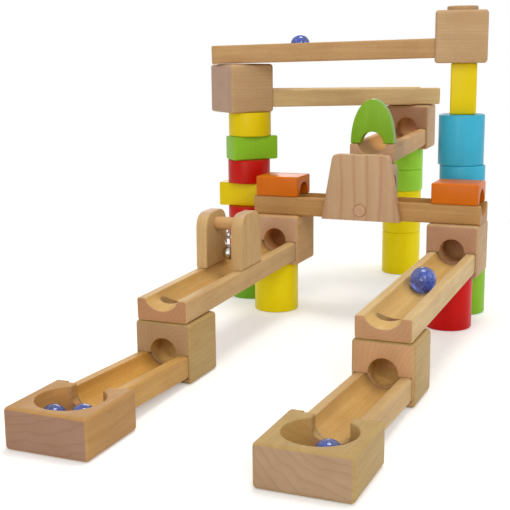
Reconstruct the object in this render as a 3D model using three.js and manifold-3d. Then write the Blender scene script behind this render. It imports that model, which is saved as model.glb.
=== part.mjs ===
// Wooden marble run: stacked building blocks carry grooved tracks that step a glass marble
// down to two catch trays. Millimetres, +Z up, the floor is z = 0. +X runs along the level
// bridge and +Y away from the trays. The layout is measured from the middle of the bridge, and
// at the end the whole run is moved so that the origin is the middle of its footprint.
import * as THREE from "three";
import { RoundedBoxGeometry } from "three/addons/geometries/RoundedBoxGeometry.js";
import { mergeVertices } from "three/addons/utils/BufferGeometryUtils.js";
import Module from "manifold-3d";

const wasm = await Module();
wasm.setup();

// ---- driving sizes ----
const GAP = 0.3; // between pieces that lie against each other at an angle
const CUBE = 40; // side of a hole block
const CUBE_EDGE = 2.5; // rounding of a hole block
const HOLE_AXIS = 20; // height of a block's outlet above its underside
const OUTLET_BORE = 18.5;
const DROP_BORE = 20;
const SEAT_HEIGHT = 4; // underside of a plugged-in track above its block's underside
const SEAT_DEPTH = 4;
const SEAT_PLAY = 0.6; // beside and over a plugged-in track

const TRACK_WIDTH = 36;
const TRACK_THICK = 15;
const TRACK_EDGE = 1.6;
const GROOVE_RADIUS = 11.7;
const GROOVE_DEPTH = 9.4;
const LIP = { top: 4.5, end: 7.7 }; // depths of the groove past a drop hole and at the track's end
const LOW_GROOVE_START = 8.8; // the low tracks climb to the tray, so their groove deepens
const LOW_GROOVE_END = 12;

const MARBLE = 16;
const CYLINDER = 36; // diameter of a round block
const CYLINDER_EDGE = 1.2;
const TALL = 40; // height of a tall round block
const SHORT = 20; // height of a short round block
const BRICK = { length: 40, width: 20, height: 20, edge: 1.4 };

const BRIDGE_SPAN = 144.6; // between the two blocks that carry the bridge
const BRIDGE_WIDTH = 30;
const TUNNEL = { length: 36, height: 16, bore: 20, crown: 11 };
const ARCH = { width: 34.6, height: 34.8, thickness: 12, notch: 18.6 };

const RIGHT_RUN = 186; // upper block to lower block, right branch
const LEFT_RUN = 194.7; // upper block to lower block, left branch
const RIGHT_TRAY_RUN = 132.8; // lower block to tray
const LEFT_TRAY_RUN = 127.5;
const TRAY = { side: 53, height: 24.5, edge: 2.6, bowl: 39.6, floor: 3.4, seat: 7.4 };
const LANE = { width: 21, sag: 6.5 }; // the way from a low track into its bowl

// Where the high columns stand: the entry column touches the back of the right upper block, the
// corner column stands clear of the bridge's left end and the turn column behind the tower.
const ENTRY_INBOARD = 8.7; // of the entry block from the right upper block
const ENTRY_COLUMN_INBOARD = 5.8;
const ENTRY_SKEW = 6.8; // degrees between the entry block and the top track
const CORNER_CLEAR = 10.4; // beyond a round block's radius
const CORNER_BACK = 28;
const TURN_X = -9.1;
const TURN_BACK = 166.6;
const COLLAR = { diameter: 24, bore: 18.5, height: 3.5 };

const TOWER_X = 0.3;
const TOWER = { width: 40, height: 27, edge: 5, shaft: 20 };
const CHEEK = { top: 45, bottom: 63, height: 51.5, thickness: 8, corner: 4 };
const TURN_END_Y = 8; // where the track that feeds the tower stops, short of its shaft
const DOWEL = 9.6;
const DOWEL_PROUD = 1;
const DOWEL_HEIGHT = 8; // dowel axis above the bridge's underside
const ROCKER = { width: 19.6, hub: 6.8, wing: 19, thickness: 4, vane: 20, vaneThickness: 3.4 };
const ROCKER_PLAY = 0.25; // beside the rocker in its well
const VANE_PLAY = 0.5; // beside the rocker in the tower's tunnel
const ROCKER_RUNNING_FIT = 0.1; // between the rocker's bore and the dowel
const ROCKER_TILT = 15; // degrees to either side of upright
const WING_PLAY = 0.28; // between a wing tip at rest and the bridge under it
const VANE_IN_CROWN = 3; // how far the vane reaches into the rounded top of the tower's tunnel

const GATE = { y: -108.5, length: 37, height: 39.6, thickness: 8.5, corner: 12, lean: 1.5 };
const GATE_DOWEL = 9.4;
const GATE_SOCKET = 5.5; // how deep the dowel sits in each plate
const GATE_DOWEL_HEIGHT = 30.3; // axis above the track's top
const WIRE = 1.1;
const EYE = { ring: 2.5, drop: 3.9 };
const BELL = { radius: 5.2, wall: 0.5, loop: 3.2, slot: 1.2, keyhole: 2.4, pellet: 3.6 };

const TOP_MARBLE_RUN = 116; // how far along its track each rolling marble lies
const RIGHT_MARBLE_RUN = 92;
const RIGHT_MARBLE = 18; // a larger one, still an easy fit in every bore
const PAIR = { gap: 0.5, heading: 22, lean: 152 }; // the left tray's two marbles, angles in degrees
const LONE_MARBLE = { x: 3.7, y: 2.4 }; // from the middle of the right tray's bowl

// ---- colours ----
const wood = (tone) => new THREE.MeshStandardMaterial({ color: tone, roughness: 0.55, metalness: 0 });
const paint = (tone) => new THREE.MeshStandardMaterial({ color: tone, roughness: 0.35, metalness: 0 });
const beech = () => wood(0xc89b6a);
const pine = () => wood(0xcfa676);
const yellow = () => paint(0xe2c400);
const green = () => paint(0x7eb02c);
const red = () => paint(0xb5120f);
const blue = () => paint(0x45a9cc);
const orange = () => paint(0xcf6a00);
const glass = () => new THREE.MeshStandardMaterial({ color: 0x4a62c4, roughness: 0.08, metalness: 0 });
const nickel = () => new THREE.MeshStandardMaterial({ color: 0xc9c8c4, roughness: 0.25, metalness: 1 });

// ---- helpers ----
const DEG = Math.PI / 180;
const CUT = 30; // how far a cutter runs past the face it opens
const ROUND = 28; // facets round a post, bore or round block
const FINE = 14; // facets round a small pin or wire

function solidOf(geometry) {
  const bare = geometry.clone();
  bare.deleteAttribute("normal");
  bare.deleteAttribute("uv");
  const merged = mergeVertices(bare, 1e-4);
  return new wasm.Manifold(
    new wasm.Mesh({
      numProp: 3,
      vertProperties: merged.attributes.position.array,
      triVerts: new Uint32Array(merged.index.array),
    }),
  );
}

function geometryOf(solid) {
  const mesh = solid.getMesh();
  const geometry = new THREE.BufferGeometry();
  geometry.setAttribute("position", new THREE.BufferAttribute(mesh.vertProperties, 3));
  geometry.setIndex(new THREE.BufferAttribute(mesh.triVerts, 1));
  geometry.computeVertexNormals();
  return geometry;
}

function cut(body, ...cutters) {
  return geometryOf(cutters.reduce((left, cutter) => left.subtract(solidOf(cutter)), solidOf(body)));
}

function join(...bodies) {
  const [first, ...rest] = bodies.map(solidOf);
  return geometryOf(rest.reduce((sum, body) => sum.add(body), first));
}

function box(sizeX, sizeY, sizeZ, x, y, bottom) {
  return new THREE.BoxGeometry(sizeX, sizeY, sizeZ).translate(x, y, bottom + sizeZ / 2);
}

// A cylinder along Z from bottom to top.
function post(diameter, bottom, top, segments = ROUND) {
  const geometry = new THREE.CylinderGeometry(diameter / 2, diameter / 2, top - bottom, segments);
  return geometry.rotateX(Math.PI / 2).translate(0, 0, (bottom + top) / 2);
}

// A flat outline in X and Z, given thickness along Y and centred on y = 0.
function plate(outline, thickness, curveSegments = 8) {
  const settings = { depth: thickness, bevelEnabled: false, curveSegments };
  const geometry = new THREE.ExtrudeGeometry(outline, settings);
  return geometry.rotateX(Math.PI / 2).translate(0, thickness / 2, 0);
}

function mesh(parent, name, geometry, material) {
  const piece = new THREE.Mesh(geometry, material);
  piece.name = name;
  parent.add(piece);
  return piece;
}

function placed(parent, x, y, z, heading = 0, slope = 0) {
  const group = new THREE.Group();
  group.rotation.order = "ZYX";
  group.rotation.set(0, slope, heading);
  group.position.set(x, y, z);
  parent.add(group);
  return group;
}

// ---- pieces ----

// Local frame of a hole block: underside at z = 0, outlet towards +X. A track that leaves at
// an angle (skew, radians) gets a seat that is a little deeper and wider.
function holeBlock(skew = 0) {
  const depth = SEAT_DEPTH + (TRACK_WIDTH / 2) * Math.sin(skew);
  const body = new RoundedBoxGeometry(CUBE, CUBE, CUBE, 1, CUBE_EDGE).translate(0, 0, CUBE / 2);
  const drop = post(DROP_BORE, HOLE_AXIS, CUBE + CUT);
  const heel = new THREE.SphereGeometry(DROP_BORE / 2, ROUND, FINE)
    .rotateX(Math.PI / 2)
    .translate(0, 0, HOLE_AXIS);
  const outlet = post(OUTLET_BORE, 0, CUBE + CUT).rotateY(Math.PI / 2).translate(0, 0, HOLE_AXIS);
  const seat = box(
    depth + CUT,
    TRACK_WIDTH + SEAT_PLAY + 2 * SEAT_DEPTH * Math.sin(skew),
    TRACK_THICK + SEAT_PLAY + GAP,
    CUBE / 2 - depth + (depth + CUT) / 2,
    0,
    SEAT_HEIGHT - GAP,
  );
  return cut(body, drop, heel, outlet, seat);
}

function trackSection(width) {
  const shape = new THREE.Shape();
  const side = width / 2 - TRACK_EDGE;
  const top = TRACK_THICK - TRACK_EDGE;
  shape.moveTo(-side, 0);
  shape.lineTo(side, 0);
  shape.absarc(side, TRACK_EDGE, TRACK_EDGE, -Math.PI / 2, 0);
  shape.absarc(side, top, TRACK_EDGE, 0, Math.PI / 2);
  shape.absarc(-side, top, TRACK_EDGE, Math.PI / 2, Math.PI);
  shape.absarc(-side, TRACK_EDGE, TRACK_EDGE, Math.PI, 1.5 * Math.PI);
  return shape;
}

// A round-bottomed cutter along +X whose depth goes from one value to the other.
function grooveCutter(length, startDepth, endDepth) {
  const run = length + 2 * CUT;
  const round = new THREE.CylinderGeometry(GROOVE_RADIUS, GROOVE_RADIUS, run, 36).rotateZ(Math.PI / 2);
  const over = box(run, 2 * GROOVE_RADIUS, CUT, 0, 0, 0);
  const cutter = join(round, over);
  cutter.rotateY(Math.atan((endDepth - startDepth) / length));
  const middleDepth = (startDepth + endDepth) / 2;
  return cutter.translate(length / 2, 0, TRACK_THICK - middleDepth + GROOVE_RADIUS);
}

// Past a drop hole the groove is shallow, so a lip stops the marble over the hole. The groove keeps
// its width there and deepens again towards the track's end.
function lipCutter() {
  const half = Math.sqrt(GROOVE_RADIUS ** 2 - (GROOVE_RADIUS - GROOVE_DEPTH) ** 2);
  const hole = DROP_BORE / 2;
  const hollow = () => {
    const oval = new THREE.CylinderGeometry(half, half, 2 * CUT, 36).rotateZ(Math.PI / 2);
    return join(oval.scale(1, 1, LIP.top / half), box(2 * CUT, 2 * half, CUT, 0, 0, 0)).translate(CUT, 0, 0);
  };
  const level = cut(hollow(), box(2 * CUT, CUBE, 2 * CUT, hole + CUT, 0, -CUT));
  const falling = hollow().rotateY(Math.atan((LIP.end - LIP.top) / (CUBE / 2 - hole)));
  return join(level, falling.translate(hole, 0, 0)).translate(0, 0, TRACK_THICK);
}

// Local frame of a track: starts at x = 0 and runs along +X, underside at z = 0.
function track(length, options = {}) {
  const { width = TRACK_WIDTH, drops = [], start = GROOVE_DEPTH, end = GROOVE_DEPTH, lip = false } = options;
  const settings = { depth: length, bevelEnabled: false, curveSegments: 3 };
  const bar = new THREE.ExtrudeGeometry(trackSection(width), settings);
  bar.rotateX(Math.PI / 2).rotateZ(Math.PI / 2);
  const holes = drops.map((x) => post(DROP_BORE, -CUT, TRACK_THICK + CUT).translate(x, 0, 0));
  const groove = grooveCutter(length, start, end);
  if (!lip) return cut(bar, groove, ...holes);
  const stop = drops[drops.length - 1];
  const beyond = box(2 * CUT, CUBE, 2 * CUT, stop + CUT, 0, -CUT);
  return cut(bar, cut(groove, beyond), lipCutter().translate(stop, 0, 0), ...holes);
}

function roundBlock(height) {
  const radius = CYLINDER / 2;
  const profile = [
    new THREE.Vector2(0, 0),
    new THREE.Vector2(radius - CYLINDER_EDGE, 0),
    new THREE.Vector2(radius, CYLINDER_EDGE),
    new THREE.Vector2(radius, height - CYLINDER_EDGE),
    new THREE.Vector2(radius - CYLINDER_EDGE, height),
    new THREE.Vector2(0, height),
  ];
  return new THREE.LatheGeometry(profile, ROUND).rotateX(Math.PI / 2);
}

function brick() {
  const { length, width, height, edge } = BRICK;
  return new RoundedBoxGeometry(length, width, height, 1, edge).translate(0, 0, height / 2);
}

// Local frame of a tray: block side at x = 0, tray runs along +X, underside at z = 0.
function tray() {
  const { side, height, edge, bowl, floor, seat } = TRAY;
  const body = new RoundedBoxGeometry(side, side, height, 1, edge).translate(side / 2, 0, height / 2);
  const hollow = post(bowl, floor, height + CUT, 36).translate(side / 2, 0, 0);
  const ramp = TRACK_THICK + seat - LOW_GROOVE_END;
  const trough = post(LANE.width, 0, side / 2).rotateY(Math.PI / 2).scale(1, 1, (2 * LANE.sag) / LANE.width);
  const lane = join(
    trough.translate(0, 0, ramp + LANE.sag),
    box(side / 2, LANE.width, CUT, side / 4, 0, ramp + LANE.sag),
  );
  const rest = box(
    SEAT_DEPTH + CUT,
    TRACK_WIDTH + SEAT_PLAY,
    height + CUT,
    SEAT_DEPTH - (SEAT_DEPTH + CUT) / 2,
    0,
    seat - GAP,
  );
  return cut(body, hollow, lane, rest);
}

function collar() {
  const { diameter, bore, height } = COLLAR;
  const profile = [
    new THREE.Vector2(bore / 2, 0),
    new THREE.Vector2(diameter / 2, 0),
    new THREE.Vector2(diameter / 2, height - 1),
    new THREE.Vector2(diameter / 2 - 1, height),
    new THREE.Vector2(bore / 2 + 1, height),
    new THREE.Vector2(bore / 2, height - 1),
    new THREE.Vector2(bore / 2, 0),
  ];
  return new THREE.LatheGeometry(profile, ROUND).rotateX(Math.PI / 2);
}

// A block with an arched way through it along X, standing on z = 0.
function tunnel() {
  const { length, height, bore, crown } = TUNNEL;
  const body = new RoundedBoxGeometry(length, BRIDGE_WIDTH, height, 1, BRICK.edge)
    .translate(0, 0, height / 2);
  return cut(body, archedWay(length, bore, crown));
}

function archedWay(length, width, crown) {
  const shape = new THREE.Shape();
  const half = width / 2;
  const spring = Math.max(crown - half, 0);
  shape.moveTo(-half, -CUT);
  shape.lineTo(half, -CUT);
  shape.lineTo(half, spring);
  shape.absellipse(0, spring, half, crown - spring, 0, Math.PI);
  shape.lineTo(-half, -CUT);
  return plate(shape, length + 2 * CUT, 10).rotateZ(Math.PI / 2);
}

// The tall half-oval arch: outline in Y and Z, thickness along X.
function ovalArch() {
  const { width, height, thickness, notch } = ARCH;
  const shape = new THREE.Shape();
  shape.moveTo(notch / 2, 0);
  shape.lineTo(width / 2, 0);
  shape.absellipse(0, 0, width / 2, height, 0, Math.PI);
  shape.lineTo(-notch / 2, 0);
  shape.absarc(0, 0, notch / 2, Math.PI, 0, true);
  return plate(shape, thickness, 16).rotateZ(Math.PI / 2);
}

function roundedOutline(corners) {
  const shape = new THREE.Shape();
  corners.forEach(([x, z, radius], i) => {
    const before = corners[(i + corners.length - 1) % corners.length];
    const after = corners[(i + 1) % corners.length];
    const point = new THREE.Vector2(x, z);
    const inward = new THREE.Vector2(before[0] - x, before[1] - z).setLength(radius).add(point);
    const outward = new THREE.Vector2(after[0] - x, after[1] - z).setLength(radius).add(point);
    if (i === 0) shape.moveTo(inward.x, inward.y);
    else shape.lineTo(inward.x, inward.y);
    if (radius > 0) shape.quadraticCurveTo(x, z, outward.x, outward.y);
  });
  return shape;
}

// ---- tower in the middle of the bridge ----
const BRIDGE_BOTTOM = TALL + CUBE;
const BRIDGE_TOP = BRIDGE_BOTTOM + TRACK_THICK;
const TOWER_TOP = BRIDGE_TOP + TOWER.height;
const PIVOT_HEIGHT = BRIDGE_BOTTOM + DOWEL_HEIGHT;
const CHEEK_FRONT = -BRIDGE_WIDTH / 2 - CHEEK.thickness;

function towerBlock() {
  const { width, height, edge, shaft } = TOWER;
  const tunnelWidth = ROCKER.width + 2 * VANE_PLAY;
  const tilt = ROCKER_TILT * DEG;
  const vaneTop = DOWEL_HEIGHT + ROCKER.vane * Math.cos(tilt) + (ROCKER.vaneThickness / 2) * Math.sin(tilt);
  const spring = vaneTop - TRACK_THICK - VANE_IN_CROWN;
  const outline = roundedOutline([
    [-width / 2, 0, 0],
    [width / 2, 0, 0],
    [width / 2, height, edge],
    [-width / 2, height, edge],
  ]);
  const body = plate(outline, BRIDGE_WIDTH, 6);
  return cut(body, archedWay(width, tunnelWidth, spring + tunnelWidth / 2), post(shaft, 1, height + CUT));
}

function towerCheek() {
  const { top, bottom, height, thickness, corner } = CHEEK;
  const outline = roundedOutline([
    [-bottom / 2, 0, 0],
    [bottom / 2, 0, 0],
    [top / 2, height, corner],
    [-top / 2, height, corner],
  ]);
  const body = plate(outline, thickness, 6);
  const bore = post(DOWEL + 2 * GAP, -CUT, CUT).rotateX(Math.PI / 2).translate(0, 0, DOWEL_HEIGHT);
  return cut(body, bore);
}

// Hub on the dowel, a wing to each side and a vane that parts the marbles.
function rocker() {
  const { width, hub, wing, thickness, vane, vaneThickness } = ROCKER;
  const round = post(2 * hub, -width / 2, width / 2, 24).rotateX(Math.PI / 2);
  const wings = box(2 * wing, width, thickness, 0, 0, 0);
  const vaneOutline = roundedOutline([
    [-vaneThickness / 2, 0, 0],
    [vaneThickness / 2, 0, 0],
    [vaneThickness / 2, vane, vaneThickness / 2],
    [-vaneThickness / 2, vane, vaneThickness / 2],
  ]);
  const body = join(round, wings, plate(vaneOutline, width, 4));
  return cut(body, post(DOWEL + 2 * ROCKER_RUNNING_FIT, -CUT, CUT, 24).rotateX(Math.PI / 2));
}

function bridge() {
  const length = BRIDGE_SPAN + CUBE;
  const middle = length / 2 + TOWER_X;
  const { wing, hub } = ROCKER;
  const bar = track(length, { width: BRIDGE_WIDTH, drops: [CUBE / 2, length - CUBE / 2] });
  const pocketWidth = ROCKER.width + 2 * ROCKER_PLAY;
  const ledge = DOWEL_HEIGHT - wing * Math.sin(ROCKER_TILT * DEG) - WING_PLAY;
  const ledges = box(2 * wing + 2, pocketWidth, CUT, middle, 0, ledge);
  const well = box(2 * hub + 1.4, pocketWidth, 2 * CUT, middle, 0, -CUT);
  const bore = post(DOWEL + 2 * GAP, -CUT, CUT).rotateX(Math.PI / 2).translate(middle, 0, DOWEL_HEIGHT);
  return cut(bar, ledges, well, bore);
}

// ---- bell gate on the left branch ----
function gatePlate(inward) {
  const { length, height, corner, lean } = GATE;
  const outline = roundedOutline([
    [-length / 2, 0, 0],
    [length / 2, 0, 0],
    [length / 2 - lean, height, corner],
    [-length / 2 + lean, height, corner],
  ]);
  const body = plate(outline, GATE.thickness, 8);
  const socket = post(GATE_DOWEL + 2 * GAP, 0, CUT).rotateX((-inward * Math.PI) / 2);
  socket.translate(0, inward * (GATE.thickness / 2 - GATE_SOCKET), GATE_DOWEL_HEIGHT);
  return cut(body, socket);
}

// Heights in the gate's frame, where z = 0 is the track's top.
const EYE_CENTRE = GATE_DOWEL_HEIGHT - GATE_DOWEL / 2 - EYE.drop;
const PIVOT_WIRE = EYE_CENTRE - EYE.ring + WIRE + GAP;
const BELL_CENTRE = PIVOT_WIRE - 2 * BELL.loop - WIRE / 2 - BELL.radius;

// A wire ring whose hole runs along Y.
function wireRing(radius) {
  return new THREE.TorusGeometry(radius, WIRE / 2, 6, FINE).rotateX(Math.PI / 2);
}

function screwEye() {
  const shank = post(WIRE, EYE_CENTRE + EYE.ring - WIRE / 4, GATE_DOWEL_HEIGHT - GATE_DOWEL / 2 - 0.02, 8);
  return join(wireRing(EYE.ring).translate(0, 0, EYE_CENTRE), shank);
}

function bellShell() {
  const { radius, wall, loop, slot, keyhole } = BELL;
  const ballOf = (size) =>
    new THREE.SphereGeometry(size, 16, 10).rotateX(Math.PI / 2).translate(0, 0, BELL_CENTRE);
  const ring = wireRing(loop).rotateZ(Math.PI / 2).translate(0, 0, PIVOT_WIRE - loop);
  const neck = post(2 * WIRE, BELL_CENTRE + radius - wall, BELL_CENTRE + radius + WIRE, 8);
  const ball = ballOf(radius);
  const room = ballOf(radius - wall);
  const mouth = box(slot, 2 * radius, radius, 0, 0, BELL_CENTRE - 1.2 * radius);
  const ends = [-1, 1].map((side) =>
    post(keyhole, -CUT, 0, 8).rotateX(side * 50 * DEG).translate(0, 0, BELL_CENTRE));
  return join(cut(ball, room, mouth, ...ends), join(ring, neck));
}

function pellet() {
  const ball = new THREE.SphereGeometry(BELL.pellet / 2, 10, 6);
  return ball.translate(0, 0, BELL_CENTRE - BELL.radius + BELL.wall + GAP + BELL.pellet / 2);
}

// ---- the whole run ----
const run = new THREE.Group();

// A hole block at a height, with its outlet in the heading given.
function standBlock(name, x, y, bottom, heading, skew = 0) {
  mesh(placed(run, x, y, bottom, heading), name, holeBlock(skew), beech());
}

// A track plugged into one block's outlet and lying over whatever stands under its far end: its
// end rests there if it falls, and the near edge of the last stretch (ledge) if it climbs.
function layTrack(name, from, to, reach, options = {}) {
  const heading = headingTo(from, to);
  const flat = Math.hypot(to.x - from.x, to.y - from.y) + reach;
  const { ledge = 2 * Math.max(reach, 0), start, end } = options;
  const held = from.z < to.z ? flat - ledge : flat;
  const slope = Math.atan((from.z - to.z) / held);
  const lean = Math.max(0, -TRACK_THICK * Math.sin(slope)); // a climbing track's end leans back
  const length = flat / Math.cos(slope) - lean;
  const lift = Math.max(0, 2 * SEAT_DEPTH * Math.sin(slope) - GAP); // clears the lip of the seat
  const group = placed(run, from.x, from.y, from.z + lift, heading, slope);
  group.translateX(lean);
  const drops = options.drop === false ? [] : [length - (reach / Math.cos(slope))];
  mesh(group, name, track(length, { drops, start, end, lip: drops.length > 0 }), beech());
  return { group, length, heading, slope };
}

function standColumn(prefix, x, y, pieces) {
  let height = 0;
  pieces.forEach(([name, kind, material, dx = 0, dy = 0, heading = 0]) => {
    const size = { tall: TALL, short: SHORT, flat: BRICK.height, upright: BRICK.length }[kind];
    const group = placed(run, x + dx, y + dy, height, heading * DEG);
    let shape;
    if (kind === "flat") shape = brick();
    else if (kind === "upright") shape = brick().translate(0, 0, -BRICK.height / 2).rotateY(Math.PI / 2);
    else shape = roundBlock(size);
    if (kind === "upright") shape.translate(0, 0, BRICK.length / 2);
    mesh(group, prefix + name, shape, material());
    height += size;
  });
}

// Where the blocks stand.
const ENTRY = {
  x: BRIDGE_SPAN / 2 - ENTRY_INBOARD,
  y: CUBE / 2 + CYLINDER / 2 + 2 * GAP,
  bottom: 4 * TALL + BRICK.length,
};
const CORNER = {
  x: -(BRIDGE_SPAN + CUBE + CYLINDER) / 2 - CORNER_CLEAR,
  y: CORNER_BACK,
  bottom: 2 * TALL + 2 * BRICK.height + 2 * SHORT,
};
const TURN = { x: TURN_X, y: TURN_BACK, bottom: 2 * TALL + 2 * SHORT };
const rightUpper = { x: BRIDGE_SPAN / 2, y: 0, bottom: TALL };
const leftUpper = { x: -BRIDGE_SPAN / 2, y: 0, bottom: TALL };
const rightLower = { x: rightUpper.x, y: rightUpper.y - RIGHT_RUN, bottom: 0 };
const leftLower = { x: leftUpper.x, y: leftUpper.y - LEFT_RUN, bottom: 0 };
const rightTray = { x: rightLower.x, y: rightLower.y - RIGHT_TRAY_RUN };
const leftTray = { x: leftLower.x, y: leftLower.y - LEFT_TRAY_RUN };
const towerMouth = { x: TOWER_X, y: TURN_END_Y, z: TOWER_TOP + GAP };

const headingTo = (from, to) => Math.atan2(to.y - from.y, to.x - from.x);
const topOf = (block) => ({ x: block.x, y: block.y, z: block.bottom + CUBE + GAP });

// The middle of a track's end where it is plugged into a block whose outlet faces the heading.
function outletOf(block, heading) {
  const run = CUBE / 2 - SEAT_DEPTH + GAP;
  const x = block.x + run * Math.cos(heading);
  const y = block.y + run * Math.sin(heading);
  return { x, y, z: block.bottom + SEAT_HEIGHT };
}

// Where the outlets face.
const FRONT = -Math.PI / 2;
const entryHeading = headingTo(ENTRY, CORNER) + ENTRY_SKEW * DEG;
const entryTurn = entryHeading / DEG - 180; // of the block and the upright brick under it
const cornerHeading = headingTo(CORNER, TURN);
const turnHeading = headingTo(TURN, towerMouth);

standBlock("entry_block", ENTRY.x, ENTRY.y, ENTRY.bottom, entryHeading, ENTRY_SKEW * DEG);
standBlock("corner_block", CORNER.x, CORNER.y, CORNER.bottom, cornerHeading);
standBlock("turn_block", TURN.x, TURN.y, TURN.bottom, turnHeading);
standBlock("right_upper_block", rightUpper.x, rightUpper.y, rightUpper.bottom, FRONT);
standBlock("left_upper_block", leftUpper.x, leftUpper.y, leftUpper.bottom, FRONT);
standBlock("right_lower_block", rightLower.x, rightLower.y, rightLower.bottom, FRONT);
standBlock("left_lower_block", leftLower.x, leftLower.y, leftLower.bottom, FRONT);
mesh(placed(run, ENTRY.x, ENTRY.y, ENTRY.bottom + CUBE), "entry_collar", collar(), beech());

// The columns, from the floor up.
standColumn("entry_post_", BRIDGE_SPAN / 2 - ENTRY_COLUMN_INBOARD, ENTRY.y, [
  ["green", "tall", green, 3.2],
  ["natural", "tall", beech, 1.6],
  ["blue_lower", "tall", blue, 0.4],
  ["blue_upper", "tall", blue, -1.2],
  ["yellow_upright", "upright", yellow, -0.5, 0, entryTurn],
]);
standColumn("corner_post_", CORNER.x + 7, CORNER.y, [
  ["green", "tall", green],
  ["red_lower", "tall", red, -1.2],
  ["yellow_brick", "flat", yellow, -5.4],
  ["red_upper", "short", red, -1.2],
  ["green_brick", "flat", green, 1.6, 0, 46],
  ["yellow_upper", "short", yellow],
]);
standColumn("turn_post_", TURN.x - 6, TURN.y, [
  ["yellow_lower", "tall", yellow, -1.2],
  ["yellow_upper", "tall", yellow, -1.2],
  ["green_lower", "short", green],
  ["green_upper", "short", green],
]);
standColumn("right_post_", rightUpper.x - 3, rightUpper.y - 13, [["red", "tall", red]]);
standColumn("left_post_", leftUpper.x - 3.6, leftUpper.y - 7.5, [["yellow", "tall", yellow]]);

// The tracks.
const topTrack = layTrack("top_track", outletOf(ENTRY, entryHeading), topOf(CORNER), CUBE / 2);
layTrack("back_track", outletOf(CORNER, cornerHeading), topOf(TURN), CUBE / 2);
const turnTrack = layTrack("turn_track", outletOf(TURN, turnHeading), towerMouth, 0, {
  drop: false,
  ledge: BRIDGE_WIDTH / 2 - TURN_END_Y,
});
const rightTrack = layTrack("right_track", outletOf(rightUpper, FRONT), topOf(rightLower), CUBE / 2);
const leftTrack = layTrack("left_track", outletOf(leftUpper, FRONT), topOf(leftLower), CUBE / 2);

[
  ["right", rightLower, rightTray],
  ["left", leftLower, leftTray],
].forEach(([side, block, catcher]) => {
  const entry = { x: catcher.x, y: catcher.y, z: TRAY.seat };
  const plug = -(TRAY.side / 2 - SEAT_DEPTH + GAP);
  layTrack(side + "_low_track", outletOf(block, FRONT), entry, plug, {
    drop: false,
    start: LOW_GROOVE_START,
    end: LOW_GROOVE_END,
  });
  const group = placed(run, catcher.x, catcher.y + TRAY.side / 2, 0, -Math.PI / 2);
  mesh(group, side + "_tray", tray(), beech());
});

// The bridge with its tunnels and the tower that sends marbles left and right in turn.
mesh(placed(run, -(BRIDGE_SPAN + CUBE) / 2, 0, BRIDGE_BOTTOM), "bridge_track", bridge(), beech());
mesh(placed(run, leftUpper.x, 0, BRIDGE_TOP), "left_tunnel", tunnel(), orange());
mesh(placed(run, rightUpper.x, 0, BRIDGE_TOP), "right_tunnel", tunnel(), orange());
mesh(placed(run, TOWER_X, 0, BRIDGE_TOP), "tower_block", towerBlock(), pine());
const cheekMiddle = CHEEK_FRONT + CHEEK.thickness / 2;
mesh(placed(run, TOWER_X, cheekMiddle, BRIDGE_BOTTOM), "tower_cheek", towerCheek(), pine());
const dowelBack = BRIDGE_WIDTH / 2 - GAP;
const dowel = post(DOWEL, CHEEK_FRONT - DOWEL_PROUD, dowelBack, 24).rotateX(-Math.PI / 2);
mesh(placed(run, TOWER_X, 0, PIVOT_HEIGHT), "tower_dowel", dowel, beech());
const rockerPiece = rocker().rotateY(ROCKER_TILT * DEG);
mesh(placed(run, TOWER_X, 0, PIVOT_HEIGHT), "tower_rocker", rockerPiece, beech());

// The green arch stands on the end of the track that feeds the tower.
const archGroup = placed(turnTrack.group, turnTrack.length - ARCH.thickness / 2, 0, TRACK_THICK + GAP);
mesh(archGroup, "green_arch", ovalArch(), green());

// The bell gate stands on the left branch's track and leans with it.
const gateRun = (leftUpper.y - GATE.y - (CUBE / 2 - SEAT_DEPTH + GAP)) / Math.cos(leftTrack.slope);
const gate = placed(leftTrack.group, gateRun, 0, TRACK_THICK + GAP);
const plateOffset = (TRACK_WIDTH - GATE.thickness) / 2;
mesh(gate, "gate_plate_left", gatePlate(1).translate(0, -plateOffset, 0), beech());
mesh(gate, "gate_plate_right", gatePlate(-1).translate(0, plateOffset, 0), beech());
const barReach = TRACK_WIDTH / 2 - GATE.thickness + GATE_SOCKET - GAP;
const gateBar = post(GATE_DOWEL, -barReach, barReach, 24);
mesh(gate, "gate_dowel", gateBar.rotateX(Math.PI / 2).translate(0, 0, GATE_DOWEL_HEIGHT), beech());
mesh(gate, "bell_eye", screwEye(), nickel());
mesh(gate, "bell_shell", bellShell(), nickel());
mesh(gate, "bell_pellet", pellet(), nickel());

// The marbles: two on tracks, three in the trays.
function marble(name, parent, x, y, rest, size = MARBLE) {
  const ball = new THREE.SphereGeometry(size / 2, 18, 12).rotateX(Math.PI / 2);
  mesh(placed(parent, x, y, rest + GAP + size / 2), name, ball, glass());
}
const groove = TRACK_THICK - GROOVE_DEPTH;
marble("marble_top", topTrack.group, TOP_MARBLE_RUN, 0, groove);
marble("marble_right", rightTrack.group, RIGHT_MARBLE_RUN, 0, groove, RIGHT_MARBLE);
const inTray = (name, tray, place) => marble(name, run, tray.x + place.x, tray.y + place.y, TRAY.floor);
const pairSlack = TRAY.bowl / 2 - MARBLE - PAIR.gap / 2;
[["marble_tray_left_a", -1], ["marble_tray_left_b", 1]].forEach(([name, side]) => {
  const reach = (side * (MARBLE + PAIR.gap)) / 2;
  inTray(name, leftTray, {
    x: pairSlack * Math.cos(PAIR.lean * DEG) + reach * Math.cos(PAIR.heading * DEG),
    y: pairSlack * Math.sin(PAIR.lean * DEG) + reach * Math.sin(PAIR.heading * DEG),
  });
});
inTray("marble_tray_right", rightTray, LONE_MARBLE);

// The origin: on the floor, in the middle of the whole footprint.
const footprint = new THREE.Box3().setFromObject(run, true).getCenter(new THREE.Vector3());
run.position.set(-footprint.x, -footprint.y, 0);

export default run;
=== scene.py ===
import math

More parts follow.
